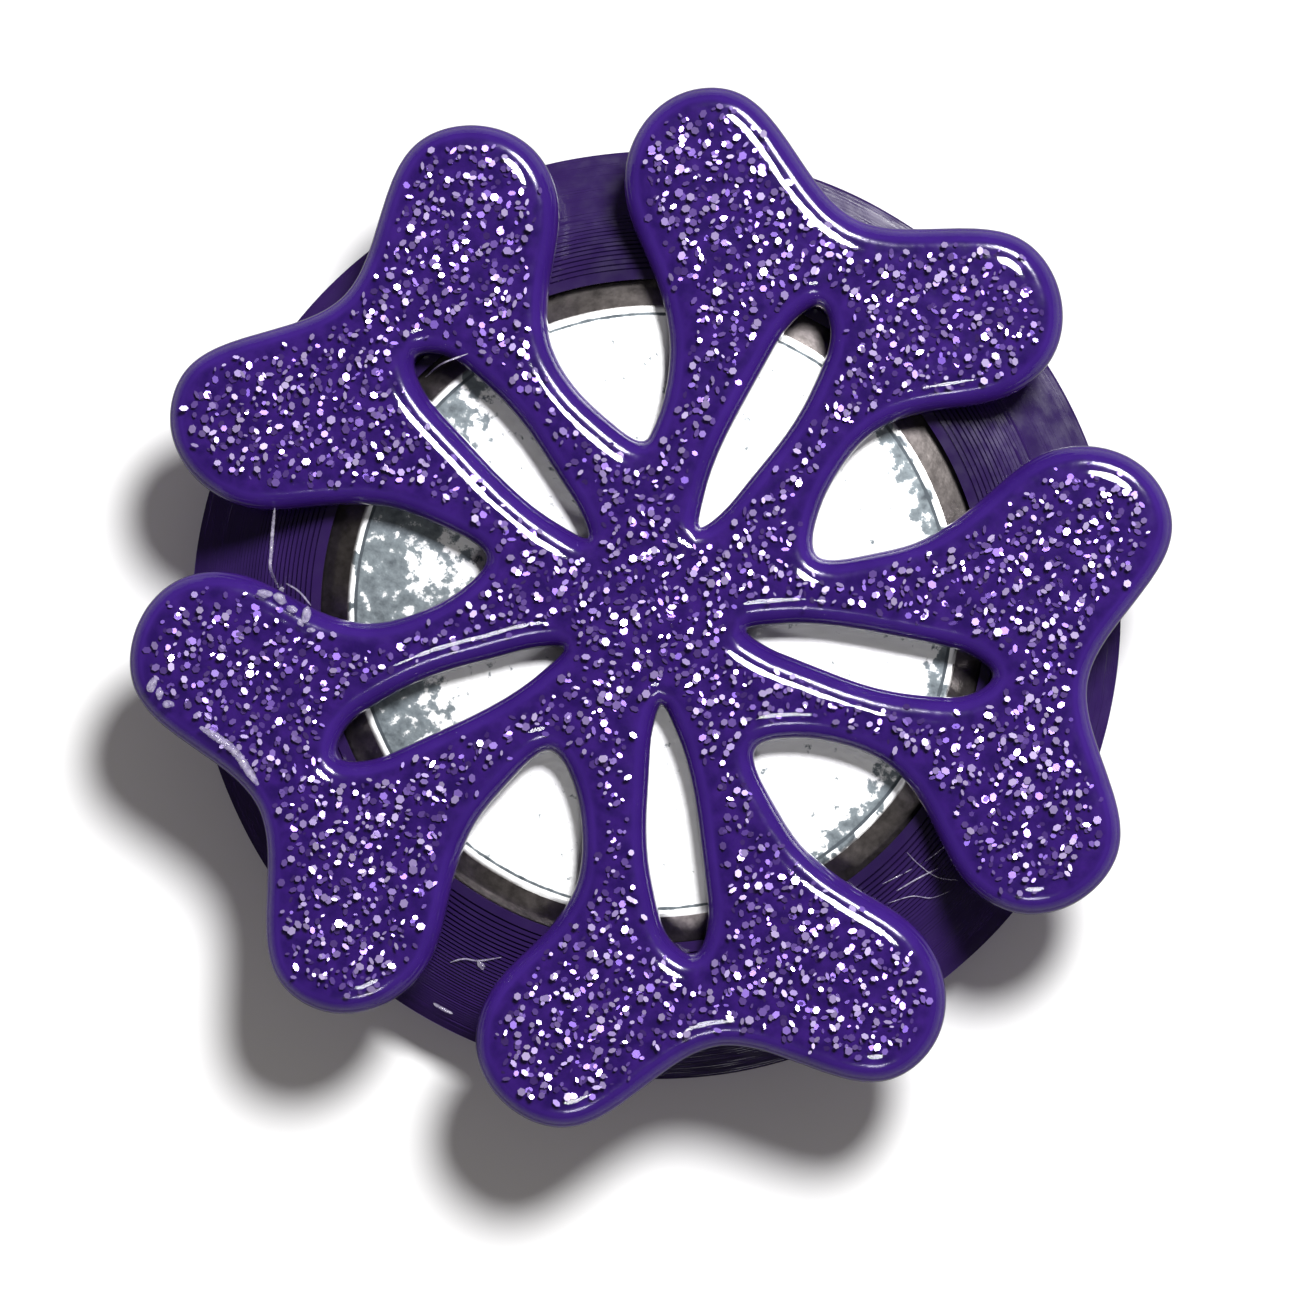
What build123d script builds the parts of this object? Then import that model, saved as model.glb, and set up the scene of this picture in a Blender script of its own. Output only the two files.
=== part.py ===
"""A round ornament with an open-work flower over a silvery disc, modelled in millimetres.

Frame: +Z up, origin on the ornament's axis at the face it rests on, with one petal's axis along +Y.
From the bottom up: a foot pad, a back plate held by five screws, a backing foam, a bevelled silvery disc,
a domed bezel ring, glue beads, and the flower with its glitter coat and its clear coat.
Every piece is its own solid, and keeps a small clearance from its neighbours.
"""
from build123d import *
import os

# Driving dimensions
PETALS = 5
RING_RADIUS = 26.9  # outside of the bezel ring
OPENING_RADIUS = 19.0  # clear opening of the bezel ring
DISC_RADIUS = 20.0  # bevelled silvery disc, a 40 mm stock size
GAP = 0.05  # clearance between two assembled pieces

# Thicknesses, from the bottom up
PLATE_THICKNESS = 2.4
FOAM_THICKNESS = 3.0
DISC_THICKNESS = 4.0
CORE_THICKNESS = 2.4
GLITTER_THICKNESS = 0.5
CLEAR_THICKNESS = 0.7

# Heights
PLATE_BASE = 1.0  # the ring and the plate share this base, and the pad stands proud of it
PAD_SEAT = PLATE_BASE + 0.4  # top of the shallow recess that the pad sits in
PLATE_TOP = PLATE_BASE + PLATE_THICKNESS
FOAM_BASE = PLATE_TOP + GAP
DISC_BASE = FOAM_BASE + FOAM_THICKNESS + GAP
DISC_TOP = DISC_BASE + DISC_THICKNESS
LAND_HEIGHT = 10.7  # crest of the ring, next to its opening
CORE_BASE = LAND_HEIGHT + 0.35
GLITTER_BASE = CORE_BASE + CORE_THICKNESS + GAP
CLEAR_BASE = GLITTER_BASE + GLITTER_THICKNESS + GAP

# Bezel ring section
LAND_RADIUS = 19.6  # outer edge of the narrow land at the crest, where the dome starts
DOME_MIDDLE = (23.5, 8.1)  # a point half-way down the dome, as radius and height
LAYER_HEIGHT = 0.16  # printed layers, which step down the dome
DOME_LAYERS = 40
WALL_HEIGHT = LAND_HEIGHT - DOME_LAYERS * LAYER_HEIGHT
EDGE_CHAMFER = 0.4
LIP_THICKNESS = 0.7  # the lip that holds the disc
POCKET_RADIUS = DISC_RADIUS + 0.15

# Bevelled disc
BEVEL_RADIUS = 17.4  # inner edge of the bevel
BEVEL_DROP = 1.0
BEVEL_ROUND = 0.6

# Back plate, pad and screws
PLATE_RADIUS = 24.4
PAD_RADIUS = 18.0
FOAM_RADIUS = 19.5
PLATE_CHAMFER = 0.3
SCREWS = 5
SCREW_CIRCLE = 21.9
SCREW_LENGTH = 5.2
SHANK_RADIUS = 0.75
HEAD_RADIUS = 1.5
HEAD_HEIGHT = 0.9
POINT_LENGTH = 1.0
RECESS_WIDTH = 0.4
RECESS_SPAN = 1.7
RECESS_DEPTH = 0.6

# Glue beads, one under each lobe
BEAD_CIRCLE = 20.6
BEAD_RADIUS = 0.9
BEAD_FLOOR = LAND_HEIGHT - 2.0  # a level inside the dome under every bead
LOBE_ANGLE = 20.5  # a lobe's angle from its petal's axis

# One petal's edge, clockwise from the bay on its left to the bay on its right; its axis is +Y
PETAL_EDGE = [
    (-4.7, 8.7), (-5.1, 11.5), (-6.4, 14.4), (-9.2, 17.4), (-12.3, 20.3),  # left flank
    (-13.3, 23.4), (-12.2, 26.8), (-9.5, 28.4), (-5.7, 27.4),  # left lobe
    (0.0, 25.1),  # notch
    (5.6, 27.4), (9.1, 28.4), (12.1, 26.9), (13.6, 23.4),  # right lobe
    (12.4, 20.2), (9.2, 17.6), (6.5, 14.7), (5.8, 11.8), (5.9, 9.2),  # right flank
]
# The blade-shaped slot on the petal's axis, clockwise from its inner point
SLOT_EDGE = [
    (-0.3, 7.0), (-0.7, 9.2), (-0.8, 12.6), (-0.7, 16.1), (-0.3, 18.7), (0.5, 19.7),
    (1.6, 18.9), (2.2, 16.7), (2.3, 14.4), (2.0, 11.5), (1.4, 8.6), (0.8, 6.3), (0.3, 5.5),
]
CORE_ROUND = 0.9  # rounding of the core's edges
COAT_INSET = 0.9  # the coats stop this far inside the core's edge
CLEAR_ROUND = 0.45
CURVE_SAMPLES = 40  # points taken along one petal's edge, or round one slot, to draw it inset


def disc(radius, base, top):
    """Plain round disc between two heights."""
    return Pos(0, 0, base) * Cylinder(radius, top - base, align=(Align.CENTER, Align.CENTER, Align.MIN))


def around(shape, count, start=0.0):
    """Copies of a shape, evenly spaced about the axis."""
    return [Rot(0, 0, start + 360 / count * index) * shape for index in range(count)]


def turned(*edges):
    """Solid of revolution about Z, from the edges of its section in (radius, height)."""
    return revolve(Plane.XZ * make_face(edges), Axis.Z)


def inset_curve(curve, distance, samples):
    """A clockwise closed curve drawn in by a distance, or out if it is negative."""
    points = []
    for index in range(samples):
        along = curve % (index / samples)
        points.append(curve @ (index / samples) + Vector(along.Y, -along.X) * distance)
    return Spline(*points, periodic=True)


def flower_face(inset=0.0):
    """The flower's flat shape with its slots, drawn in from every edge by the inset."""
    edge = []
    for petal in range(PETALS):
        edge += [Vector(x, y).rotate(Axis.Z, -360 / PETALS * petal) for x, y in PETAL_EDGE]
    outline = Spline(*edge, periodic=True)
    slot = Spline(*[Vector(x, y) for x, y in SLOT_EDGE], periodic=True)
    if inset:
        outline = inset_curve(outline, inset, PETALS * CURVE_SAMPLES)
        slot = inset_curve(slot, -inset, CURVE_SAMPLES)
    return make_face(outline) - around(make_face(slot), PETALS)


def raised(face, base, thickness):
    """A flat shape made solid, standing on a height."""
    return extrude(Pos(0, 0, base) * face, thickness)


def screw_hole(radius):
    """Hole for one screw's shank, on the screw circle."""
    return Pos(SCREW_CIRCLE, 0, 0) * disc(radius, 0, PLATE_BASE + SCREW_LENGTH + GAP)


def foot_pad():
    """Soft round pad that the ornament rests on."""
    return disc(PAD_RADIUS, 0, PAD_SEAT - GAP)


def back_plate():
    """Plate that closes the ring from behind, with the pad's recess and countersunk screw holes."""
    plate = disc(PLATE_RADIUS, PLATE_BASE, PLATE_TOP)
    plate = chamfer(plate.edges().group_by(Axis.Z)[0], PLATE_CHAMFER)
    plate -= disc(PAD_RADIUS + GAP, 0, PAD_SEAT)
    seat_top = PLATE_BASE + HEAD_HEIGHT + GAP
    countersink = turned(Polyline(
        (0, PLATE_BASE), (HEAD_RADIUS + GAP, PLATE_BASE),
        (SHANK_RADIUS + GAP, seat_top), (0, seat_top), close=True,
    ))
    return plate - around(screw_hole(SHANK_RADIUS + GAP) + Pos(SCREW_CIRCLE, 0, 0) * countersink, SCREWS)


def back_screws():
    """Countersunk self-tapping screws with a cross recess, in one group."""
    tip = PLATE_BASE + SCREW_LENGTH
    section = Polyline(
        (0, PLATE_BASE + GAP), (HEAD_RADIUS, PLATE_BASE + GAP), (SHANK_RADIUS, PLATE_BASE + HEAD_HEIGHT),
        (SHANK_RADIUS, tip - POINT_LENGTH), (0, tip), close=True,
    )
    blade = Pos(0, 0, PLATE_BASE) * Box(RECESS_SPAN, RECESS_WIDTH, 2 * RECESS_DEPTH)
    screw = turned(section) - blade - Rot(0, 0, 90) * blade
    return Compound(around(Pos(SCREW_CIRCLE, 0, 0) * screw, SCREWS))


def backing_foam():
    """Thin foam disc that presses the silvery disc against the ring's lip."""
    return disc(FOAM_RADIUS, FOAM_BASE, FOAM_BASE + FOAM_THICKNESS)


def silver_disc():
    """Silvery disc with a wide bevel around its front, and a softened corner where the bevel starts."""
    blank = turned(Polyline(
        (0, DISC_BASE), (DISC_RADIUS, DISC_BASE), (DISC_RADIUS, DISC_TOP - BEVEL_DROP),
        (BEVEL_RADIUS, DISC_TOP), (0, DISC_TOP), close=True,
    ))
    return fillet(blank.edges().group_by(Axis.Z)[-1], BEVEL_ROUND)


def dome_curve():
    """The ring's dome, as an arc in (radius, height)."""
    return ThreePointArc((LAND_RADIUS, LAND_HEIGHT), DOME_MIDDLE, (RING_RADIUS, WALL_HEIGHT))


def dome_radius(height):
    """Radius of the dome at a height."""
    dome = dome_curve()
    return dome.arc_center.X + (dome.radius**2 - (height - dome.arc_center.Y) ** 2) ** 0.5


def bezel_ring():
    """Printed ring: a dome in fine steps, a lip over the disc, the disc's pocket, and the plate's seat."""
    lip_base = LAND_HEIGHT - LIP_THICKNESS
    section = [
        (PLATE_RADIUS + GAP, PLATE_BASE), (PLATE_RADIUS + GAP, PLATE_TOP + GAP),
        (POCKET_RADIUS, PLATE_TOP + GAP), (POCKET_RADIUS, lip_base),
        (OPENING_RADIUS, lip_base), (OPENING_RADIUS, LAND_HEIGHT),
    ]
    for layer in range(DOME_LAYERS):
        top = LAND_HEIGHT - layer * LAYER_HEIGHT
        section += [(dome_radius(top), top), (dome_radius(top), top - LAYER_HEIGHT)]
    section += [
        (RING_RADIUS, WALL_HEIGHT), (RING_RADIUS, PLATE_BASE + EDGE_CHAMFER),
        (RING_RADIUS - EDGE_CHAMFER, PLATE_BASE),
    ]
    return turned(Polyline(*section, close=True)) - around(screw_hole(SHANK_RADIUS + GAP), SCREWS)


def glue_beads():
    """Squashed beads of clear glue between the dome and the flower, one under each lobe."""
    dome = turned(dome_curve(), Polyline(
        (RING_RADIUS, WALL_HEIGHT), (0, WALL_HEIGHT), (0, LAND_HEIGHT), (LAND_RADIUS, LAND_HEIGHT),
    ))
    bead = Pos(0, BEAD_CIRCLE, 0) * disc(BEAD_RADIUS, BEAD_FLOOR, CORE_BASE - GAP)
    bead -= Pos(0, 0, GAP) * dome
    return Compound(around(bead, PETALS, LOBE_ANGLE) + around(bead, PETALS, -LOBE_ANGLE))


def flower_core():
    """The flower's solid plate, with every edge rounded above and below."""
    core = raised(flower_face(), CORE_BASE, CORE_THICKNESS)
    levels = core.edges().group_by(Axis.Z)
    return fillet(levels[0] + levels[-1], CORE_ROUND)


def glitter_coat():
    """Layer of glitter in resin on top of the core, inside its rounded edges."""
    return raised(flower_face(COAT_INSET), GLITTER_BASE, GLITTER_THICKNESS)


def clear_coat():
    """Clear resin over the glitter, rounded at its top edges."""
    coat = raised(flower_face(COAT_INSET), CLEAR_BASE, CLEAR_THICKNESS)
    return fillet(coat.edges().group_by(Axis.Z)[-1], CLEAR_ROUND)


SUB_PARTS = [
    foot_pad, back_plate, back_screws, backing_foam, silver_disc,
    bezel_ring, glue_beads, flower_core, glitter_coat, clear_coat,
]

os.makedirs("parts", exist_ok=True)
for sub_part in SUB_PARTS:
    export_step(sub_part(), f"parts/{sub_part.__name__}.step")
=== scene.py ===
import math
import random

import bmesh
import bpy
import numpy as np
from mathutils import Matrix, Vector, noise
from mathutils.geometry import delaunay_2d_cdt
from mathutils.kdtree import KDTree


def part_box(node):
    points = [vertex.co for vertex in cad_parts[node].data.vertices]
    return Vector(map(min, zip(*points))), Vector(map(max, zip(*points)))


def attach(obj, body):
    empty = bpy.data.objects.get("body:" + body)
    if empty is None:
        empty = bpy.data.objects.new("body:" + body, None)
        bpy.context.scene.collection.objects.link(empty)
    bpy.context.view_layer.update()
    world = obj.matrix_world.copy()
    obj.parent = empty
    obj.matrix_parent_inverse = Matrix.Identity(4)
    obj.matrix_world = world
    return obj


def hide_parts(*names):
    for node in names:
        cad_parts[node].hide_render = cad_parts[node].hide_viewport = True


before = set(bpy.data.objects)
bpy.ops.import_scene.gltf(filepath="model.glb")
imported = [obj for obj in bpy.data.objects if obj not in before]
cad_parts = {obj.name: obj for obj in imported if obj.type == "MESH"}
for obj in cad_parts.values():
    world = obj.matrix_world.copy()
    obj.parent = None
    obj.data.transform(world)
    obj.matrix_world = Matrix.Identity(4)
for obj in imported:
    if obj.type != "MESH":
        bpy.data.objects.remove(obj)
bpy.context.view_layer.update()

MM = 0.001
BODY = "root"
WELD = 0.001 * MM  # corners of a CAD node closer than this are one corner
rng = random.Random(11)

# Heights taken from the frame
CORE_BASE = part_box("flower_core")[0].z
BED_TOP = (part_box("glitter_coat")[0].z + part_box("glitter_coat")[1].z) / 2  # violet up to here, clear above
COAT_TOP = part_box("clear_coat")[1].z
FLOWER_MIDDLE = (CORE_BASE + COAT_TOP) / 2

# The flower's body and the resin over it
OUTLINE_STEP = 0.22 * MM  # spacing of points along the edges
GRID_STEP = 0.45 * MM  # spacing of points inside them
EDGE_ROWS = [0.02, 0.07, 0.15, 0.26, 0.40, 0.56, 0.74, 0.95, 1.20, 1.50, 1.85]  # mm in from the edge
ROW_NEARNESS = 0.93  # a row's point stays if its nearest edge is at least this share of its depth away
GRID_MARGIN = 0.3  # mm from the last row to the first grid points
NO_GAP = 1e-9  # metres; the triangulation takes points closer than this for one point
TOP_ROUND = 1.2 * MM  # rounding of the body's upper edges
BASE_ROUND = 0.9 * MM  # rounding of its lower edges
RESIN_INSET = 0.2 * MM  # the resin's edge, in from the body's outline
DOME_REACH = 2.2 * MM  # distance over which the resin rises to its flat top
DOME_SQUARE = 2.4  # how quickly it rises at its edge; 2 is an ellipse
SKIN = 0.01 * MM  # gap between the body and the resin over it

# Glitter flakes
FLAKE_SIDES = 6
FLAKE_RADIUS = 0.23 * MM
FLAKE_SIZES = (0.5, 1.2)  # least and greatest size, as shares of the radius
FLAKE_WIDTHS = (0.4, 1.0)  # least and greatest width, as shares of the length
FLAKE_THICKNESS = 0.012 * MM
FLAKE_STEP = 0.52 * MM
FLAKE_SCATTER = 0.4  # how far a flake may stray from its place in the grid, as a share of the step
FLAKE_TILT = 0.19  # typical tilt, as a slope
FLAKE_LEAN = 0.45  # share of the resin's own slope that a flake takes near the edge
FLAKE_MARGIN = 0.75 * MM  # clear border between the body's outline and the first flakes
FLAKE_FADE = 1.0 * MM  # distance over which the flakes reach their full number
FLAKE_BAND = 0.55 * MM  # depth of resin that holds the flakes
FLAKE_COVER = 0.08 * MM  # clear resin over the highest ones
FLAKE_DIMMING = 1.5  # how fast a flake's tone drops as it lies deeper

# Bezel ring
RING_SEGMENTS = 288
RING_WAVES = range(2, 26, 3)  # waves around the ring that make its layers uneven
SHARP_EDGE = math.radians(40)
TREAD_WIDTHS = (0.05 * MM, 0.5 * MM)  # a level this wide is the tread of a printed layer
LAYER_NOTCH = 0.07 * MM  # depth of the groove between two printed layers
LAYER_CORNER = 0.15  # how high a layer's lower corner lies over the groove, as a share of its thickness
LAYER_MIDDLE = 0.3  # how high its widest place lies
LAYER_BULGE = 0.1  # how far that place stands out past the corners
LAYER_FALL = 0.09  # how far its upper corner lies under the next layer's groove
LAYER_WOBBLE = 0.004 * MM  # typical size of one wave
SEAM_WIDTH = 0.08 * MM  # seam between a tread and the layer behind it
SEAM_DEPTH = 0.09 * MM
SEAM_FOOT = 0.25  # where the seam's deepest line lies, as a share of its width
SEAM_TREAD = 0.18 * MM  # treads narrower than this have none
SEAM_FADE = 0.08 * MM  # how much wider a tread has to be for the full seam
SEAM_LEAST = 0.1  # a seam up to this share of a full one is left out
SEAM_FACING = (-0.5, -0.8)  # from no seam's shade to all of it; a face that faces the axis squarely has -1
SEAM_SHADE = 0.4
PAINTED_SHADE_BAND = (22.0 * MM, 19.8 * MM)  # radii between which painted shade darkens the ring towards its opening
BAND_SHADE = 0.3

# Marks on the disc, as radii or as distances along one direction of the picture, with the darkening they add;
# the border stain and etched line are real tarnish, the dim left side and its bright spot are painted
# reflection, and the rim line is a painted highlight
PAINTED_DIMMING_ANGLE = 172  # degrees anticlockwise from the picture's right
PAINTED_DIMMING = (9.5 * MM, 13.0 * MM)  # painted reflection: from bright to dim towards the left, where the disc mirrors a darker part of the room
PAINTED_DIMMING_AMOUNT = 0.27
STAINED_SIDE = (-8.0 * MM, -12.0 * MM)  # from clean to stained at the border, on the right
STAINED_BORDER = (15.3 * MM, 17.3 * MM)
BORDER_TARNISH = 0.34
ETCHED_LINE = (16.90 * MM, 16.97 * MM)
LINE_TARNISH = 0.36
# painted highlight: a broken bright line along the flat's rounded edge
PAINTED_RIM_HIGHLIGHT = (17.07 * MM, 17.13 * MM)
# painted reflection: a bright spot in the dim left side
BRIGHT_SPOT = (-13.0, 2.6)  # mm to the right of and above the axis in the picture
BRIGHT_REACH = (0.4 * MM, 1.5 * MM)
SPOT_PAINTED_LIGHT = 0.22  # painted reflection: the darkening it takes away

# Stray glue strings and lumps, in millimetres. A string has a radius and a path. Each point of a path is so
# far to the right of and above the ornament's axis in the picture, and so far above the surface there.
STRINGS = {
    "gap": (0.10, [(-21.45, 5.8, 0.0), (-21.6, 4.8, 3.4), (-21.7, 3.4, 3.2), (-21.7, 2.3, 3.6),
                   (-21.5, 1.4, 0.0)]),
    "edge": (0.06, [(-20.8, 1.5, 3.4), (-20.0, 1.0, 3.6), (-19.3, 0.2, 3.7)]),
    "slot": (0.05, [(-13.0, 13.4, 0.0), (-11.9, 13.9, 3.9), (-10.4, 14.5, 0.0)]),
    "dome": (0.05, [(-11.7, -20.1, 0.0), (-10.9, -19.9, 0.1), (-10.0, -20.0, 0.0), (-8.7, -19.8, 0.1)]),
    "loose_strand": (0.045, [(13.9, -16.0, 0.0), (15.1, -15.3, 0.05), (16.3, -14.7, 0.0)]),
    "upper_strand": (0.03, [(13.1, -15.6, 0.0), (14.5, -14.9, 0.05), (15.7, -14.2, 0.05),
                            (16.6, -13.5, 0.0)]),
    "cross_strand": (0.025, [(14.5, -13.8, 0.0), (15.2, -14.5, 0.05), (16.2, -15.2, 0.05),
                             (17.4, -15.4, 0.0)]),
    "bent_strand": (0.025, [(13.4, -16.7, 0.0), (14.8, -16.3, 0.05), (15.9, -16.4, 0.05),
                            (17.0, -16.0, 0.0)]),
    "ridge": (0.24, [(-25.6, -6.7, -0.1), (-24.6, -7.3, -0.1), (-23.6, -8.1, -0.1), (-22.9, -9.1, -0.15),
                     (-22.3, -10.0, -0.15)]),
    "chip": (0.10, [(-12.8, -22.5, 0.0), (-12.3, -22.8, 0.05), (-11.7, -23.1, 0.0)]),
}
STRING_SIDES = 8
STRING_STEPS = 10  # points along each stretch of a path
STRING_TIP = 0.1  # section left at a string's very end, as a share of its full section
STRING_TAPER = 5  # how fast it grows from there; at 5 it is full a fifth of the way along
STRING_UNEVEN = (0.9, 1.1)  # least and greatest thickness, as shares of the radius
LUMPS = [
    (-22.0, 0.9), (-21.3, 1.2), (-21.1, 0.6), (-20.4, 0.0), (-19.6, -0.3), (-19.9, -0.8), (-19.3, -1.2),
    (-28.3, -4.3), (-27.9, -4.8), (-27.4, -5.4), (-9.9, -20.2),
]
LUMP_RADIUS = 0.30 * MM
LUMP_SIZES = (0.6, 1.15)  # least and greatest size, as shares of the radius
LUMP_SHAPE = (1.3, 0.8, 0.6)  # its length, width and height, as shares of its size
LUMP_BULGE = 0.45  # how uneven a lump is, as a share of its size
LUMP_BUMPS = 1.3  # how closely its bumps follow each other
LUMP_LIFT = -0.1  # mm above the surface, so a lump is sunk into it
GLUE_DEPTH = 0.32 * MM  # how far the middle of a string or lump stays below the resin's highest level

# Light
FILL = 0.21  # even light from all round
ROOM = 0.08  # the room as it shows in reflections
BACKDROP = 1.1  # the white backdrop, as the camera sees it past the floor
FILL_TINT = (1.0, 0.95, 0.90, 1.0)
FLOOR_WHITE = 0.88
FLOOR_MIRRORED = 0.30  # the floor as it shows in reflections
FLOOR_REACH = 1.5

# Lamps: degrees anticlockwise from the picture's right, degrees up, distance and size in metres, watts
KEY = (58.6, 64, 0.5, 0.12, 3.6)
WINDOW = (-82, 60, 0.5, 0.09, 0.5)
UNDER = (0, -89, 0.4, 0.3, 1.0)

# Camera
PICTURE_TURN = math.radians(27.5)  # the picture's right lies this far round from the frame's +X
CAMERA_BACK = (-45, 87.8)  # the way to the camera: degrees anticlockwise from the picture's right, degrees up
CAMERA_DISTANCE = 450 * MM
PICTURE_WIDTH = 73.9 * MM  # how much the picture spans at the ornament
AIM_LEFT = 0.1 * MM  # how far the picture's middle lies left of the axis
AIM_DOWN = 2.3 * MM  # how far it lies below the axis


def picture_direction(angle, elevation):
    """Unit vector at an angle anticlockwise from the picture's right, and an elevation above the floor."""
    bearing = math.radians(angle) + PICTURE_TURN
    level = math.cos(math.radians(elevation))
    return Vector((level * math.cos(bearing), level * math.sin(bearing), math.sin(math.radians(elevation))))


def picture_place(across, up):
    """The point on the floor this many millimetres to the right of and above the axis in the picture."""
    return (picture_direction(0, 0) * across + picture_direction(90, 0) * up) * MM


# ---- Meshes ----

def ridden(obj, replaced=None):
    """Puts a finished piece on the ornament's only body, and hides the node it stands for."""
    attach(obj, BODY)
    if replaced:
        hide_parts(replaced)


def placed(mesh, material, smooth=True):
    """An object in the scene that shows a finished mesh."""
    mesh.polygons.foreach_set("use_smooth", [smooth] * len(mesh.polygons))
    mesh.materials.append(material)
    obj = bpy.data.objects.new(mesh.name, mesh)
    bpy.context.scene.collection.objects.link(obj)
    return obj


def new_piece(name, points, faces, material, smooth=True):
    """A mesh object from points and faces."""
    mesh = bpy.data.meshes.new(name)
    mesh.from_pydata([tuple(p) for p in points], [], [tuple(f) for f in faces])
    mesh.validate()
    return placed(mesh, material, smooth)


def underside_loops(node):
    """The closed outlines of a CAD node's flat underside, each as an array of XY points."""
    shape = bmesh.new()
    shape.from_mesh(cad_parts[node].data)
    bmesh.ops.remove_doubles(shape, verts=shape.verts, dist=WELD)
    floor = min(v.co.z for v in shape.verts) + WELD
    flat = {f for f in shape.faces if all(v.co.z < floor for v in f.verts)}
    links = {}
    for edge in shape.edges:
        if sum(f in flat for f in edge.link_faces) == 1:
            a, b = edge.verts
            links.setdefault(a, []).append(b)
            links.setdefault(b, []).append(a)
    loops = []
    while links:
        here = next(iter(links))
        loop = []
        while here in links:
            loop.append((here.co.x, here.co.y))
            onward = [v for v in links.pop(here) if v in links]
            here = onward[0] if onward else None
        loops.append(np.array(loop))
    shape.free()
    return loops


def evenly(loop, step):
    """The closed loop with evenly spaced points, running anticlockwise."""
    closed = np.vstack([loop, loop[:1]])
    along = np.concatenate([[0.0], np.cumsum(np.linalg.norm(np.diff(closed, axis=0), axis=1))])
    at = np.linspace(0.0, along[-1], round(along[-1] / step), endpoint=False)
    points = np.column_stack([np.interp(at, along, closed[:, axis]) for axis in (0, 1)])
    ahead = np.roll(points, -1, axis=0)
    area = np.sum(points[:, 0] * ahead[:, 1] - ahead[:, 0] * points[:, 1])
    return points if area > 0 else points[::-1]


def inside(points, loops):
    """True for each point that lies in the outline and outside its holes."""
    hits = np.zeros(len(points), int)
    for loop in loops:
        ahead = np.roll(loop, -1, axis=0)
        for (x0, y0), (x1, y1) in zip(loop, ahead):
            if y0 == y1:
                continue
            spans = (points[:, 1] < y0) != (points[:, 1] < y1)
            hits += spans & (points[:, 0] < x0 + (points[:, 1] - y0) * (x1 - x0) / (y1 - y0))
    return hits % 2 == 1


def grown(loop, distance):
    """An anticlockwise outline moved out to its right by a distance, or in if it is negative."""
    along = np.roll(loop, -1, axis=0) - np.roll(loop, 1, axis=0)
    along /= np.linalg.norm(along, axis=1)[:, None]
    return loop + np.column_stack([along[:, 1], -along[:, 0]]) * distance


def flower_loops(inset):
    """The flower's outline, then its slots, each drawn in from the edge by an inset."""
    loops = sorted(underside_loops("flower_core"), key=len, reverse=True)
    edge_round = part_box("flower_core")[1].x - loops[0][:, 0].max()  # the underside ends this far in
    loops = [evenly(loop, OUTLINE_STEP) for loop in loops]
    move = edge_round - inset
    moves = [move] + [-move] * (len(loops) - 1)
    return [evenly(grown(loop, distance), OUTLINE_STEP) for loop, distance in zip(loops, moves)]


class Plan:
    """A flat shape with holes: its triangulation, and each point's distance in from the nearest edge."""

    def __init__(self, loops):
        self.loops = loops
        rim = np.vstack(loops)
        self.tree = KDTree(len(rim))
        for index, (x, y) in enumerate(rim):
            self.tree.insert((x, y, 0.0), index)
        self.tree.balance()
        rows = [self.row(loop, order, depth * MM) for depth in EDGE_ROWS for order, loop in enumerate(loops)]
        rows = np.vstack(rows)
        grid = self.grid(GRID_STEP)
        grid = grid[self.depths(grid) > (EDGE_ROWS[-1] + GRID_MARGIN) * MM]
        self.triangulate(np.vstack([rim, rows[inside(rows, loops)], grid]))

    def row(self, loop, order, depth):
        """Points in from one outline by a depth, kept only where no other edge is nearer."""
        moved = grown(loop, -depth if order == 0 else depth)
        return moved[self.depths(moved) > depth * ROW_NEARNESS]

    def grid(self, step):
        """Points of a hexagonal grid inside the shape."""
        reach = np.abs(self.loops[0]).max() + step
        rows = np.arange(-reach, reach, step * math.sqrt(3) / 2)
        columns = np.arange(-reach, reach, step)
        points = np.array([(x + step / 2 * (index % 2), y) for index, y in enumerate(rows) for x in columns])
        return points[inside(points, self.loops)]

    def depths(self, points):
        """Distance of each point from the nearest edge."""
        return np.array([self.tree.find((x, y, 0.0))[2] for x, y in points])

    def triangulate(self, points):
        """Fills the shape with triangles between the points, of which the first are the outlines' own."""
        edges = []
        start = 0
        for loop in self.loops:
            count = len(loop)
            edges += [(start + i, start + (i + 1) % count) for i in range(count)]
            start += count
        result = delaunay_2d_cdt([Vector(p) for p in points], edges, [], 0, NO_GAP)
        self.points = np.array([tuple(v) for v in result[0]])
        triangles = np.array([f for f in result[2] if len(f) == 3])
        self.triangles = triangles[inside(self.points[triangles].mean(axis=1), self.loops)]
        self.depth = self.depths(self.points)


def rounding(depth, radius):
    """How far a rounded edge lies below its flat, at a depth in from the outline."""
    short = np.clip(radius - depth, 0.0, radius)
    return radius - np.sqrt(radius**2 - short**2)


def shell(name, plan, low, high, material):
    """A closed piece over a plan, between two heights given at each point."""
    count = len(plan.points)
    top = np.column_stack([plan.points, high])
    bottom = np.column_stack([plan.points, low])
    faces = [tuple(t) for t in plan.triangles] + [tuple(count + t[::-1]) for t in plan.triangles]
    sides = {}
    for a, b, c in plan.triangles:
        for edge in ((a, b), (b, c), (c, a)):
            if edge[::-1] in sides:
                del sides[edge[::-1]]
            else:
                sides[edge] = True
    faces += [(b, a, count + a, count + b) for a, b in sides]
    return new_piece(name, np.vstack([top, bottom]), faces, material)


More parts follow.
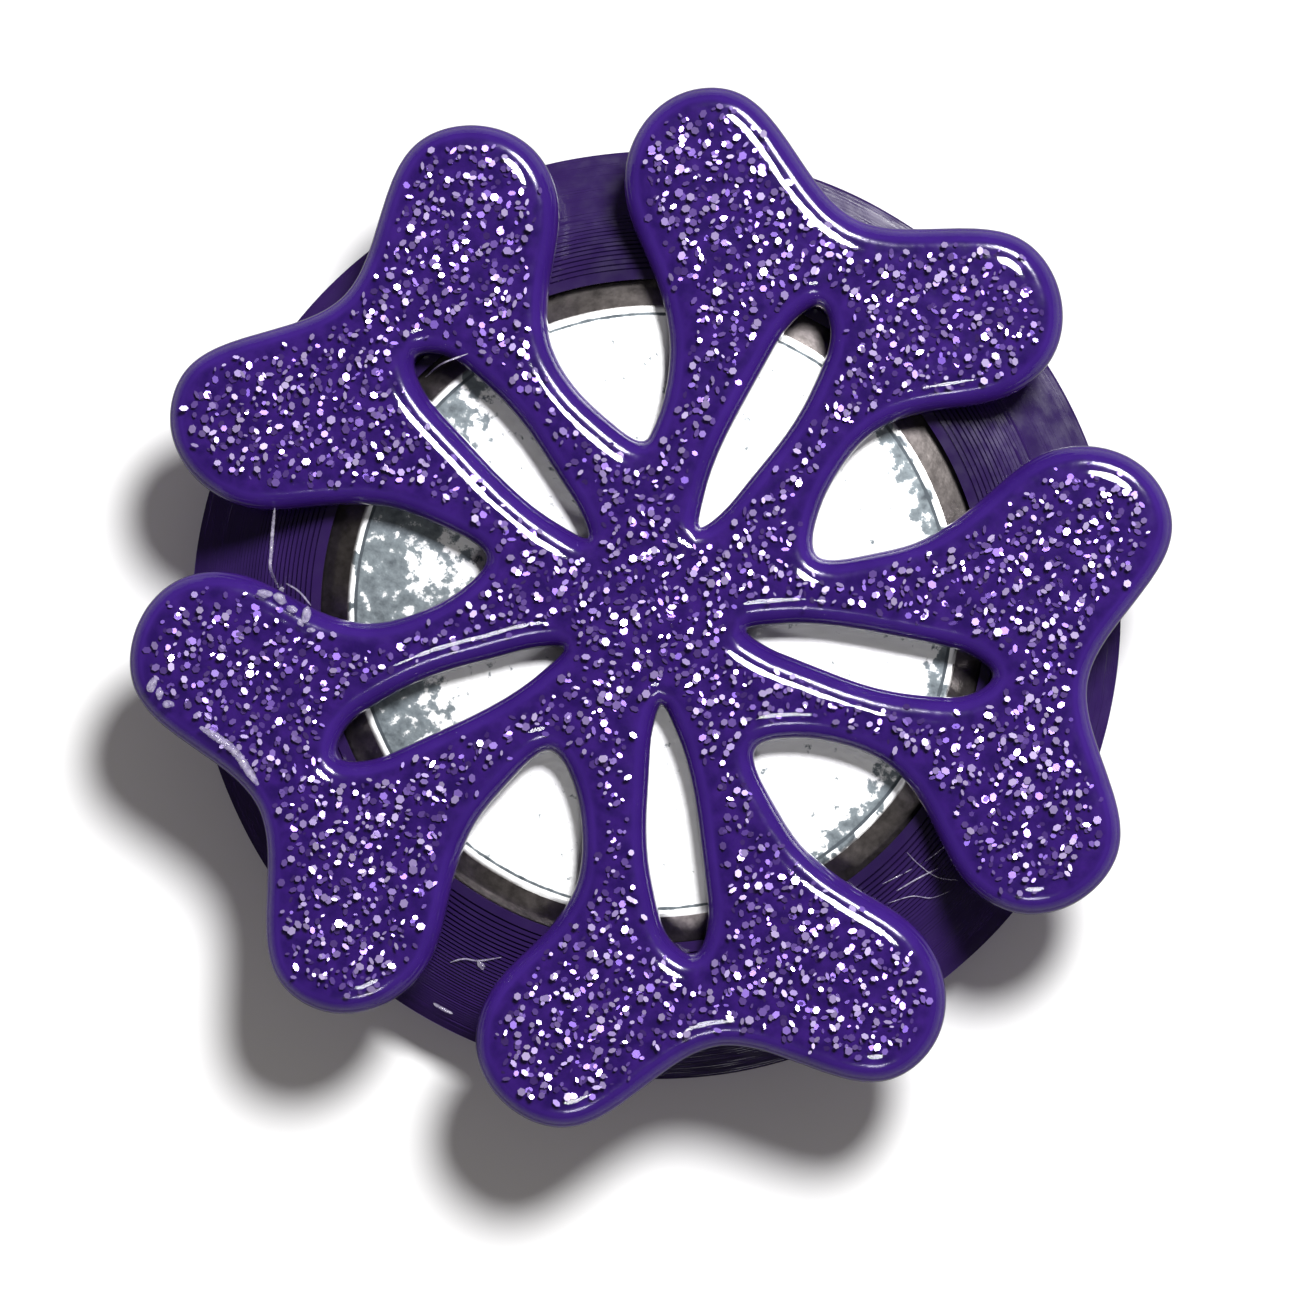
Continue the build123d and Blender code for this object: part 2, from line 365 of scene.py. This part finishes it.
def turned(name, section, material):
    """A closed ring turned about the ornament's axis from its section, with slightly uneven rows."""
    waves = np.random.default_rng(5)
    angles = np.linspace(0.0, math.tau, RING_SEGMENTS, endpoint=False)
    points = []
    for radius, height in section:
        around = np.full(RING_SEGMENTS, radius)
        for turns in RING_WAVES:
            size = LAYER_WOBBLE * waves.normal()
            around += size * np.sin(turns * angles + waves.uniform(0, math.tau))
        points += [(r * math.cos(t), r * math.sin(t), height) for r, t in zip(around, angles)]
    faces = []
    for row in range(len(section)):
        here = row * RING_SEGMENTS
        there = (row + 1) % len(section) * RING_SEGMENTS
        for k in range(RING_SEGMENTS):
            onward = (k + 1) % RING_SEGMENTS
            faces.append((here + k, here + onward, there + onward, there + k))
    obj = new_piece(name, points, faces, material)
    obj.data.set_sharp_from_angle(angle=SHARP_EDGE)
    return obj


# ---- Materials ----

class Shader:
    """A material under construction. Texture sizes are in millimetres on the object."""

    def __init__(self, name):
        self.material = bpy.data.materials.new(name)
        self.material.use_nodes = True
        self.tree = self.material.node_tree
        self.tree.nodes.clear()
        self.place = self.add("TexCoord").outputs["Object"]

    def add(self, kind, inputs=None, **settings):
        """One node, with its inputs set to values or linked to sockets."""
        made = self.tree.nodes.new("ShaderNode" + kind)
        for key, value in settings.items():
            setattr(made, key, value)
        for key, value in (inputs or {}).items():
            if isinstance(value, bpy.types.NodeSocket):
                self.tree.links.new(value, made.inputs[key])
            else:
                made.inputs[key].default_value = value
        return made

    def noise(self, size, detail=3.0, roughness=0.5):
        """Soft noise whose features are about this many millimetres across."""
        return self.add("TexNoise", {
            "Vector": self.place, "Scale": 1.0 / (size * MM), "Detail": detail, "Roughness": roughness,
        }).outputs["Fac"]

    def ramp(self, factor, *stops):
        """Colours blended along a factor; each stop is a position and a colour or a grey."""
        made = self.add("ValToRGB", {"Fac": factor})
        elements = made.color_ramp.elements
        while len(elements) < len(stops):
            elements.new(1.0)
        for element, (position, colour) in zip(elements, stops):
            element.position = position
            element.color = (*colour, 1.0) if isinstance(colour, tuple) else (colour, colour, colour, 1.0)
        return made.outputs["Color"]

    def math(self, operation, a, b=0.0):
        """One arithmetic step."""
        return self.add("Math", {0: a, 1: b}, operation=operation).outputs[0]

    def measure(self, operation, a, b=(0.0, 0.0, 0.0)):
        """A length, a distance or a dot product of vectors."""
        return self.add("VectorMath", {0: a, 1: b}, operation=operation).outputs["Value"]

    def blend(self, value, span, low=0.0, high=1.0):
        """Goes from low to high while a value goes over a span."""
        return self.add("MapRange", {
            "Value": value, "From Min": span[0], "From Max": span[1], "To Min": low, "To Max": high,
        }).outputs[0]

    def mix(self, factor, one, other):
        """One colour turned into another by a factor."""
        return self.add("Mix", {0: factor, 6: one, 7: other}, data_type="RGBA").outputs[2]

    def mix_surfaces(self, factor, one, other):
        """One surface turned into another by a factor."""
        return self.add("MixShader", {0: factor, 1: one, 2: other}).outputs[0]

    def upward(self):
        """How far the surface faces up: 1 is level, 0 is upright."""
        return self.add("SeparateXYZ", {0: self.add("NewGeometry").outputs["Normal"]}).outputs["Z"]

    def outward(self):
        """The vector from the ornament's axis to the place on the surface."""
        return self.add("VectorMath", {0: self.place, 1: (1.0, 1.0, 0.0)}, operation="MULTIPLY").outputs[0]

    def bump(self, height, depth):
        """A bumped normal, with the full height worth this many millimetres."""
        inputs = {"Height": height, "Distance": depth * MM, "Strength": 1.0}
        return self.add("Bump", inputs).outputs["Normal"]

    def plastic(self, **inputs):
        """Finishes with a Principled surface, whose input names have underscores for spaces."""
        named = {key.replace("_", " "): value for key, value in inputs.items()}
        return self.finish(self.add("BsdfPrincipled", named).outputs[0])

    def finish(self, surface):
        """Connects the surface to the output."""
        self.add("OutputMaterial", {"Surface": surface})
        return self.material


def flower_plastic():
    """Glossy violet plastic, a little deeper and cloudy on its flat top, where the glitter lies; its lighter
    sloped edges are partly painted glow of light through the translucent plastic.
    """
    m = Shader("flower_plastic")
    flat = m.blend(m.upward(), (0.93, 1.0))
    cloud = m.ramp(m.noise(0.9, detail=4.0), (0.35, (0.017, 0.004, 0.080)), (0.75, (0.040, 0.011, 0.150)))
    # partly painted light: the sloped edges are lighter for the glow of light through the translucent plastic
    edge = m.ramp(m.noise(3.0), (0.3, (0.034, 0.010, 0.138)), (0.7, (0.046, 0.014, 0.178)))
    return m.plastic(
        Base_Color=m.mix(flat, edge, cloud), IOR=1.4,
        Roughness=m.ramp(m.noise(0.8), (0.3, 0.10), (0.7, 0.17)), Normal=m.bump(m.noise(1.6), 0.02),
    )


def flake_silver():
    """Silver glitter seen through purple resin, from bright flakes near the surface to dim deep ones."""
    m = Shader("flake_silver")
    tone = m.add("Attribute", attribute_name="tone").outputs["Fac"]
    colour = m.ramp(tone, (0.0, (0.08, 0.035, 0.23)), (0.35, (0.25, 0.15, 0.52)), (1.0, (0.78, 0.66, 1.0)))
    return m.plastic(Base_Color=colour, Metallic=0.6, Roughness=0.26)


def clear_resin():
    """Clear wet-looking resin: it mirrors by Fresnel from outside, and lets the rest straight through."""
    m = Shader("clear_resin")
    normal = m.bump(m.noise(2.2, detail=2.0), 0.04)
    mirror = m.add("Fresnel", {"IOR": 1.45, "Normal": normal}).outputs[0]
    inner = m.add("NewGeometry").outputs["Backfacing"]
    level = m.upward()
    off_foot = m.blend(level, (0.1, 0.5))  # the steep foot doesn't mirror
    clear = m.add("BsdfTransparent", {"Color": (0.97, 0.96, 1.0, 1.0)}).outputs[0]
    gloss = m.add("BsdfGlossy", {"Roughness": 0.05, "Normal": normal}).outputs[0]
    share = m.math("MULTIPLY", m.math("MULTIPLY", mirror, off_foot), m.math("SUBTRACT", 1.0, inner))
    plain = m.mix_surfaces(share, clear, gloss)
    # Real resin bends a low view down onto the violet body, so a view that leaves it sideways sees violet
    aside = m.math("MULTIPLY", inner, m.math("LESS_THAN", level, 0.0))
    aside = m.math("MULTIPLY", aside, m.add("LightPath").outputs["Is Camera Ray"])
    violet = {"Color": (0.09, 0.035, 0.33, 1.0)}
    scattered = m.add("BsdfDiffuse", violet).outputs[0]
    let_through = m.add("BsdfTranslucent", violet).outputs[0]
    return m.finish(m.mix_surfaces(aside, plain, m.mix_surfaces(0.5, scattered, let_through)))


def ring_plastic():
    """Dark glossy printed plastic, with painted shade towards the opening and in the seams, which face the
    axis.
    """
    m = Shader("ring_plastic")
    colour = m.ramp(m.noise(4.0), (0.3, (0.021, 0.009, 0.064)), (0.7, (0.031, 0.012, 0.092)))
    outward = m.outward()
    radius = m.measure("LENGTH", outward)
    facing = m.measure("DOT_PRODUCT", m.add("NewGeometry").outputs["True Normal"], outward)
    # painted shade: darker on the seams' faces that turn to the axis, and in a band towards the opening
    seam_painted_shade = m.blend(m.math("DIVIDE", facing, radius), SEAM_FACING, high=SEAM_SHADE)
    shade = m.math("MAXIMUM", seam_painted_shade, m.blend(radius, PAINTED_SHADE_BAND, high=BAND_SHADE))
    return m.plastic(
        Base_Color=m.mix(shade, colour, (0.004, 0.002, 0.008, 1.0)), IOR=1.38,
        Roughness=m.ramp(m.noise(1.2), (0.35, 0.12), (0.65, 0.20)), Normal=m.bump(m.noise(0.9), 0.005),
    )


def tarnish_and_painted_reflection(m):
    """How much darker the disc is at each place than its noise alone makes it: real tarnish at the border and
    in the etched line, and painted reflection, a dim left side with a bright spot and a bright line along the
    rim.
    """
    aside = m.measure("DOT_PRODUCT", m.place, picture_direction(PAINTED_DIMMING_ANGLE, 0))
    outward = m.outward()
    radius = m.measure("LENGTH", outward)
    # painted reflection: the disc dims towards the picture's left, where it mirrors a darker part of the room
    painted_dimming = m.blend(aside, PAINTED_DIMMING, high=PAINTED_DIMMING_AMOUNT)
    border = m.blend(radius, STAINED_BORDER, high=BORDER_TARNISH)
    border = m.math("MULTIPLY", border, m.blend(aside, STAINED_SIDE))
    # painted highlight: a broken bright line along the rounded edge of the flat
    rim = m.math("MULTIPLY", m.blend(radius, PAINTED_RIM_HIGHLIGHT), m.ramp(m.noise(1.5), (0.40, 0.3), (0.50, 0.75)))
    etched = m.blend(radius, ETCHED_LINE, high=LINE_TARNISH)
    # painted reflection: a bright spot in the dim left side
    far = m.measure("DISTANCE", outward, picture_place(*BRIGHT_SPOT))
    spot = m.blend(far, BRIGHT_REACH, low=SPOT_PAINTED_LIGHT, high=0.0)
    darker = m.math("ADD", m.math("SUBTRACT", m.math("ADD", painted_dimming, border), rim), etched)
    return m.math("SUBTRACT", darker, spot)


def silver_metal():
    """Satin silver with blotchy tarnish, and with painted reflection of the dark room: a darker, browner bevel
    and a dimmer left side.
    """
    m = Shader("silver_metal")
    blotch = m.noise(0.8, detail=6.0, roughness=0.62)
    dull = m.math("ADD", blotch, tarnish_and_painted_reflection(m))
    face = m.ramp(dull, (0.62, (0.80, 0.80, 0.80)), (0.69, (0.17, 0.195, 0.21)), (1.0, (0.06, 0.07, 0.08)))
    # painted reflection: the sloped bevel gets a darker, browner copy of the silver for the dark room it
    # mirrors
    painted_dark_bevel = m.ramp(blotch, (0.3, (0.135, 0.120, 0.116)), (0.7, (0.33, 0.295, 0.285)))
    flat = m.blend(m.upward(), (0.95, 0.99))
    satin = m.ramp(blotch, (0.35, 0.44), (0.7, 0.56))
    return m.plastic(
        Base_Color=m.mix(flat, painted_dark_bevel, face), Metallic=1.0, Normal=m.bump(m.noise(0.5, detail=4.0), 0.012),
        Roughness=m.add("Mix", {0: flat, 2: 0.30, 3: satin}).outputs[0],
    )


def clear_glue():
    """Set clear glue."""
    m = Shader("clear_glue")
    colour = m.ramp(m.noise(0.25), (0.35, (0.40, 0.34, 0.55)), (0.65, (0.80, 0.76, 0.90)))
    return m.plastic(
        Base_Color=colour, Roughness=0.10, Alpha=m.ramp(m.noise(0.35), (0.35, 0.20), (0.65, 0.45)),
        Normal=m.bump(m.noise(0.5), 0.015),
    )


def back_plastic():
    """Printed plastic whose first layer shows its parallel strokes."""
    m = Shader("back_plastic")
    stroke = 0.42 * MM
    strokes = m.add("TexWave", {
        "Vector": m.place, "Scale": 1.0 / stroke / math.tau, "Distortion": 0.15,
    }, bands_direction="DIAGONAL").outputs["Fac"]
    colour = m.ramp(m.noise(3.0), (0.3, (0.030, 0.010, 0.090)), (0.7, (0.046, 0.015, 0.130)))
    return m.plastic(Base_Color=colour, Roughness=0.42, Normal=m.bump(strokes, 0.03))


def pad_foam():
    """Dull dark closed-cell foam."""
    m = Shader("pad_foam")
    cell = 0.3 * MM
    cells = m.add("TexVoronoi", {"Vector": m.place, "Scale": 1.0 / cell}).outputs["Distance"]
    colour = m.ramp(cells, (0.1, 0.012), (0.6, 0.035))
    return m.plastic(Base_Color=colour, Roughness=0.85, Normal=m.bump(cells, 0.06))


def white_foam():
    """Soft white foam."""
    m = Shader("white_foam")
    return m.plastic(Base_Color=m.ramp(m.noise(0.4), (0.3, 0.62), (0.7, 0.78)), Roughness=0.9)


def screw_steel():
    """Zinc-plated steel."""
    m = Shader("screw_steel")
    colour = m.ramp(m.noise(0.5), (0.3, (0.50, 0.50, 0.52)), (0.7, (0.68, 0.67, 0.64)))
    return m.plastic(Base_Color=colour, Metallic=1.0, Roughness=0.3, Normal=m.bump(m.noise(0.15), 0.006))


def finish_nodes():
    """Gives each CAD node that stays visible its material."""
    finishes = {
        "silver_disc": silver_metal, "glue_beads": clear_glue, "back_plate": back_plastic,
        "foot_pad": pad_foam, "backing_foam": white_foam, "back_screws": screw_steel,
    }
    for node, finish in finishes.items():
        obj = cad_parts[node]
        for slot in obj.material_slots:
            slot.link = "OBJECT"
            slot.material = finish()


# ---- The flower ----

def body_height(depth):
    """Height of the body's upper face at a depth in from its outline."""
    return BED_TOP - rounding(depth, TOP_ROUND)


def resin_height(depth):
    """Height of the resin's top at a depth in from the body's outline."""
    foot = body_height(RESIN_INSET) + SKIN
    left = 1.0 - np.clip((depth - RESIN_INSET) / DOME_REACH, 0.0, 1.0)
    return foot + (COAT_TOP - foot) * (1.0 - left**DOME_SQUARE) ** (1 / DOME_SQUARE)


def flower_body():
    """The flower's solid body, with rounded edges above and below. Returns its plan."""
    plan = Plan(flower_loops(0.0))
    high = body_height(plan.depth)
    low = CORE_BASE + rounding(plan.depth, BASE_ROUND)
    body = shell("flower_body", plan, low, high, flower_plastic())
    ridden(body, "flower_core")
    return plan


def resin_dome():
    """Clear resin that rises from the body's rounded edge to a flat top."""
    plan = Plan(flower_loops(RESIN_INSET))
    depth = plan.depth + RESIN_INSET
    dome = shell("resin_dome", plan, body_height(depth) + SKIN / 2, resin_height(depth), clear_resin())
    ridden(dome, "clear_coat")


def flake_pose(plan, x, y, lift):
    """Where a flake lies: at a share of the way up its band, leaning out with the resin near the edge."""
    edge, _, depth = plan.tree.find((x, y, 0.0))
    low = body_height(depth) + SKIN
    high = min(resin_height(depth) - FLAKE_COVER, low + FLAKE_BAND)
    slope = (resin_height(depth + SKIN) - resin_height(depth)) / SKIN
    outward = (edge - Vector((x, y, 0.0))).normalized() * min(slope, 1.0) * FLAKE_LEAN
    tilt = Vector((rng.gauss(0.0, FLAKE_TILT), rng.gauss(0.0, FLAKE_TILT), 1.0))
    turn = Matrix.Rotation(rng.uniform(0.0, math.tau), 4, "Z")
    lean = (outward + tilt).to_track_quat("Z", "Y").to_matrix().to_4x4()
    return Matrix.Translation((x, y, low + lift * (high - low))) @ lean @ turn


def glitter_flakes(plan):
    """Thin six-sided flakes at random tilts in the resin, with a tone for how bright each one is."""
    angles = [math.tau * k / FLAKE_SIDES for k in range(FLAKE_SIDES)]
    corners = [(math.cos(angle), math.sin(angle)) for angle in angles]
    points = []
    faces = []
    tones = []
    spots = plan.grid(FLAKE_STEP)
    strays = [[rng.gauss(0.0, FLAKE_SCATTER), rng.gauss(0.0, FLAKE_SCATTER)] for _ in spots]
    spots += np.array(strays) * FLAKE_STEP
    spots = spots[inside(spots, plan.loops)]
    for (x, y), depth in zip(spots, plan.depths(spots)):
        if (depth - FLAKE_MARGIN) / FLAKE_FADE < rng.random():
            continue
        lift = rng.random()
        pose = flake_pose(plan, x, y, lift)
        length = FLAKE_RADIUS * rng.uniform(*FLAKE_SIZES)
        width = length * rng.uniform(*FLAKE_WIDTHS)
        low = [len(points) + k for k in range(FLAKE_SIDES)]
        high = [k + FLAKE_SIDES for k in low]
        for level in (-FLAKE_THICKNESS / 2, FLAKE_THICKNESS / 2):
            points += [pose @ Vector((cx * length, cy * width, level)) for cx, cy in corners]
        faces += [high, low[::-1]]
        for k in range(FLAKE_SIDES):
            onward = (k + 1) % FLAKE_SIDES
            faces.append((low[k], low[onward], high[onward], high[k]))
        tones += [lift**FLAKE_DIMMING] * (FLAKE_SIDES + 2)
    flakes = new_piece("glitter_flakes", points, faces, flake_silver(), smooth=False)
    flakes.data.attributes.new("tone", "FLOAT", "FACE").data.foreach_set("value", tones)
    ridden(flakes, "glitter_coat")


# ---- The ring ----

def node_levels(node):
    """Each height at which a turned CAD node has points, with its least and greatest radius there."""
    levels = {}
    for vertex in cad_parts[node].data.vertices:
        height = round(vertex.co.z / MM, 3)
        radius = math.hypot(vertex.co.x, vertex.co.y)
        least, greatest = levels.get(height, (radius, radius))
        levels[height] = (min(least, radius), max(greatest, radius))
    return [(height * MM, *levels[height]) for height in sorted(levels)]


def layer_side(radius, low, high):
    """Section of one printed layer's outer side, with the groove under it."""
    rise = high - low
    corner = radius - LAYER_BULGE * rise
    return [
        (radius - LAYER_NOTCH, low), (corner, low + LAYER_CORNER * rise), (radius, low + LAYER_MIDDLE * rise),
        (corner, high - LAYER_FALL * rise),
    ]


def seam(width, inner, high):
    """Section of the seam between a tread and the layer behind it, where the tread is wide enough."""
    share = min(1.0, (width - SEAM_TREAD) / SEAM_FADE)
    if share <= SEAM_LEAST:
        return []
    reach = share * SEAM_WIDTH
    return [(inner + reach, high), (inner + SEAM_FOOT * reach, high - share * SEAM_DEPTH)]


def printed_ring():
    """The bezel ring, with each printed layer of its dome rounded like a laid strand."""
    levels = node_levels("bezel_ring")
    base, foot, seat = levels[:3]
    crest = levels[-1]
    lip = next(level for level in levels if level[1] < crest[1] + SKIN)
    narrow, wide = TREAD_WIDTHS
    treads = [level for level in levels[:-1] if narrow < level[2] - level[1] < wide]
    section = [(base[2], base[0]), (foot[2], foot[0]), (treads[0][2], treads[0][0])]
    for (low, radius, _), (high, inner, _) in zip(treads, treads[1:]):
        section += layer_side(radius, low, high)
        section += seam(radius - inner, inner, high)
    low, radius, _ = treads[-1]
    section += layer_side(radius, low, crest[0])
    section += [
        (crest[1], crest[0]), (crest[1], lip[0]), (lip[2], lip[0]),
        (seat[1], seat[0]), (seat[2], seat[0]), (base[1], base[0]),
    ]
    ridden(turned("printed_ring", section, ring_plastic()), "bezel_ring")


# ---- Stray glue ----

def surface_height(plan, spot):
    """Height of the resin at a spot on the flower, or of the ring's dome beside it."""
    if inside(np.array([spot[:2]]), plan.loops)[0]:
        return resin_height(plan.tree.find((spot.x, spot.y, 0.0))[2])
    levels = node_levels("bezel_ring")[::-1]
    heights = [level[0] for level in levels]
    radii = [level[2] for level in levels]
    return np.interp(math.hypot(spot.x, spot.y), radii, heights)


def picture_spot(plan, across, up, lift):
    """A point to the right of and above the axis in the picture, lifted off the surface there, all in mm."""
    spot = picture_place(across, up)
    spot.z = min(surface_height(plan, spot) + lift * MM, COAT_TOP - GLUE_DEPTH)
    return spot


def smoothed(path):
    """Points along a curve through each point of a path."""
    knots = [path[0] * 2 - path[1], *path, path[-1] * 2 - path[-2]]
    points = []
    for a, b, c, d in zip(knots, knots[1:], knots[2:], knots[3:]):
        for t in (step / STRING_STEPS for step in range(STRING_STEPS)):
            bend = (2 * a - 5 * b + 4 * c - d) * t**2 + (3 * b - a - 3 * c + d) * t**3
            points.append((2 * b + (c - a) * t + bend) / 2)
    return [*points, path[-1]]


def glue_string(name, spine, radius, material):
    """A thread of set glue, uneven along its length and tapered at its ends."""
    last = len(spine) - 1
    points = []
    for index, here in enumerate(spine):
        ahead = (spine[min(index + 1, last)] - spine[max(index - 1, 0)]).normalized()
        side = ahead.cross(Vector((0, 0, 1))).normalized()
        over = side.cross(ahead)
        from_end = min(index, last - index) / last
        taper = math.sqrt(min(1.0, STRING_TIP + STRING_TAPER * from_end))
        thick = radius * taper * rng.uniform(*STRING_UNEVEN)
        for angle in (math.tau * k / STRING_SIDES for k in range(STRING_SIDES)):
            points.append(here + (side * math.cos(angle) + over * math.sin(angle)) * thick)
    start = list(range(STRING_SIDES))
    faces = [start, [k + last * STRING_SIDES for k in start[::-1]]]
    for row in range(last):
        here = row * STRING_SIDES
        there = here + STRING_SIDES
        for k in start:
            onward = (k + 1) % STRING_SIDES
            faces.append((here + k, there + k, there + onward, here + onward))
    ridden(new_piece("glue_string_" + name, points, faces, material))


def glue_lumps(places, material):
    """Small irregular lumps of set glue, all in one piece."""
    shape = bmesh.new()
    for place in places:
        fresh = bmesh.ops.create_icosphere(shape, subdivisions=3, radius=1.0)["verts"]
        size = LUMP_RADIUS * rng.uniform(*LUMP_SIZES)
        turn = Matrix.Rotation(rng.uniform(0.0, math.tau), 3, "Z") @ Matrix.Diagonal(LUMP_SHAPE)
        seed = Vector((rng.uniform(0, 50), rng.uniform(0, 50), 0))
        for vertex in fresh:
            bulge = 1.0 + LUMP_BULGE * noise.noise(vertex.co * LUMP_BUMPS + seed)
            vertex.co = place + turn @ vertex.co * bulge * size
    mesh = bpy.data.meshes.new("glue_lumps")
    shape.to_mesh(mesh)
    shape.free()
    ridden(placed(mesh, material))


def stray_glue(plan):
    """Every string and lump of glue that was left on the ornament."""
    material = clear_glue()
    for name, (radius, path) in STRINGS.items():
        spine = smoothed([picture_spot(plan, *point) for point in path])
        glue_string(name, spine, radius * MM, material)
    glue_lumps([picture_spot(plan, across, up, LUMP_LIFT) for across, up in LUMPS], material)


# ---- Studio ----

def aimed(back, up):
    """Rotation of a camera or a light that faces against back, with up towards the top of its view."""
    side = up.cross(back).normalized()
    return Matrix((side, back.cross(side), back)).transposed().to_quaternion()


def add_lamp(name, angle, elevation, distance, size, power):
    """A round soft light that faces the ornament."""
    lamp = bpy.data.lights.new(name, "AREA")
    lamp.shape = "DISK"
    lamp.size = size
    lamp.energy = power
    obj = bpy.data.objects.new(name, lamp)
    back = picture_direction(angle, elevation)
    obj.location = back * distance
    obj.rotation_mode = "QUATERNION"
    obj.rotation_quaternion = aimed(back, picture_direction(angle + 90, 0))
    bpy.context.scene.collection.objects.link(obj)
    return obj


def add_floor():
    """A pale floor that can be seen through from below, and lets the lamp under it light the underside."""
    m = Shader("floor_white")
    path = m.add("LightPath")
    below = m.add("NewGeometry").outputs["Backfacing"]
    colour = m.ramp(path.outputs["Is Glossy Ray"], (0.0, FLOOR_WHITE), (1.0, FLOOR_MIRRORED))
    white = m.add("BsdfDiffuse", {"Color": colour}).outputs[0]
    clear = m.add("BsdfTransparent").outputs[0]
    m.finish(m.mix_surfaces(m.math("MAXIMUM", path.outputs["Is Shadow Ray"], below), white, clear))
    corners = [(-1, -1), (1, -1), (1, 1), (-1, 1)]
    points = [(x * FLOOR_REACH, y * FLOOR_REACH, 0) for x, y in corners]
    new_piece("floor", points, [(0, 1, 2, 3)], m.material)


def add_world():
    """Warm even fill, seen as white by the camera and as a darker room in reflections."""
    world = bpy.data.worlds.new("studio")
    world.use_nodes = True
    nodes, links = world.node_tree.nodes, world.node_tree.links
    path = nodes.new("ShaderNodeLightPath")
    lit = nodes.new("ShaderNodeMapRange")
    lit.inputs["To Min"].default_value = FILL
    lit.inputs["To Max"].default_value = ROOM
    links.new(path.outputs["Is Glossy Ray"], lit.inputs["Value"])
    seen = nodes.new("ShaderNodeMapRange")
    links.new(lit.outputs[0], seen.inputs["To Min"])
    seen.inputs["To Max"].default_value = BACKDROP
    links.new(path.outputs["Is Camera Ray"], seen.inputs["Value"])
    background = nodes["Background"]
    background.inputs["Color"].default_value = FILL_TINT
    links.new(seen.outputs[0], background.inputs["Strength"])
    bpy.context.scene.world = world


def add_camera():
    """A long lens almost straight above the ornament."""
    camera = bpy.data.cameras.new("camera")
    camera.lens = camera.sensor_width * CAMERA_DISTANCE / PICTURE_WIDTH
    camera.clip_start = 0.01
    obj = bpy.data.objects.new("camera", camera)
    bpy.context.scene.collection.objects.link(obj)
    back = picture_direction(*CAMERA_BACK)
    up = picture_direction(90, 0)
    aim = Vector((0, 0, FLOWER_MIDDLE)) - picture_direction(0, 0) * AIM_LEFT - up * AIM_DOWN
    obj.location = aim + back * CAMERA_DISTANCE
    obj.rotation_mode = "QUATERNION"
    obj.rotation_quaternion = aimed(back, up)
    bpy.context.scene.camera = obj


finish_nodes()
plan = flower_body()
glitter_flakes(plan)
resin_dome()
printed_ring()
stray_glue(plan)
add_floor()
add_world()
add_lamp("key", *KEY)
add_lamp("window", *WINDOW).visible_diffuse = False  # only makes highlights
add_lamp("under", *UNDER)
add_camera()
bpy.context.scene.view_settings.view_transform = "Standard"
